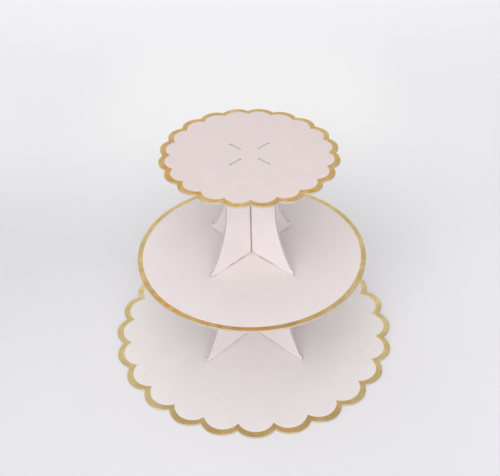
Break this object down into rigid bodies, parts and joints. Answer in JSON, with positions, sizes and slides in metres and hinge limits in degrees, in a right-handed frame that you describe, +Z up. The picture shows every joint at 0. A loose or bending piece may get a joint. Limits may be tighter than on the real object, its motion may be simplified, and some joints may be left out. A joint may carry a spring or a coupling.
{
  "type": "tiered cake stand",
  "caption": "Tiered cake stand of laminated card: scalloped and plain round plates with gold borders on cross-shaped columns of slotted boards, held by tabs in slots.",
  "frame": {"origin": "centre of the underside of the bottom plate, on the axis of the columns", "axes": "+Z up along the axis; -Y to the front, where a lobe of the bottom plate and a notch of the top plate point; +X to the right seen from the front; the wings of both columns stand at 45 degrees to X and Y"},
  "size_m": [0.3, 0.3, 0.2291],
  "materials": {
    "card_core": "matte",
    "plate_face_paper": "satin",
    "plate_back_paper": "matte",
    "column_paper": "satin",
    "gold_foil": "satin"
  },
  "bodies": {
    "bottom_plate": {"bottom_plate_core": "card_core", "bottom_plate_back_paper": "plate_back_paper", "bottom_plate_face_paper": "plate_face_paper", "bottom_plate_gold_border": "gold_foil"},
    "lower_first_board": {"lower_first_board_core": "card_core", "lower_first_board_left_paper": "column_paper", "lower_first_board_right_paper": "column_paper"},
    "lower_second_board": {"lower_second_board_core": "card_core", "lower_second_board_left_paper": "column_paper", "lower_second_board_right_paper": "column_paper"},
    "middle_plate": {"middle_plate_core": "card_core", "middle_plate_back_paper": "plate_back_paper", "middle_plate_face_paper": "plate_face_paper", "middle_plate_gold_border": "gold_foil"},
    "upper_first_board": {"upper_first_board_core": "card_core", "upper_first_board_left_paper": "column_paper", "upper_first_board_right_paper": "column_paper"},
    "upper_second_board": {"upper_second_board_core": "card_core", "upper_second_board_left_paper": "column_paper", "upper_second_board_right_paper": "column_paper"},
    "top_plate": {"top_plate_core": "card_core", "top_plate_back_paper": "plate_back_paper", "top_plate_face_paper": "plate_face_paper", "top_plate_gold_border": "gold_foil"}
  },
  "joints": [
    {"name": "lower_first_board_lift", "type": "slide", "parent": "bottom_plate", "child": "lower_first_board", "axis": [0, 0, 1], "range_m": [0, 0.03]},
    {"name": "lower_second_board_lift", "type": "slide", "parent": "lower_first_board", "child": "lower_second_board", "axis": [0, 0, 1], "range_m": [0, 0.112]},
    {"name": "middle_plate_lift", "type": "slide", "parent": "lower_second_board", "child": "middle_plate", "axis": [0, 0, 1], "range_m": [0, 0.03]},
    {"name": "upper_first_board_lift", "type": "slide", "parent": "middle_plate", "child": "upper_first_board", "axis": [0, 0, 1], "range_m": [0, 0.03]},
    {"name": "upper_second_board_lift", "type": "slide", "parent": "upper_first_board", "child": "upper_second_board", "axis": [0, 0, 1], "range_m": [0, 0.119]},
    {"name": "top_plate_lift", "type": "slide", "parent": "upper_second_board", "child": "top_plate", "axis": [0, 0, 1], "range_m": [0, 0.03]}
  ]
}
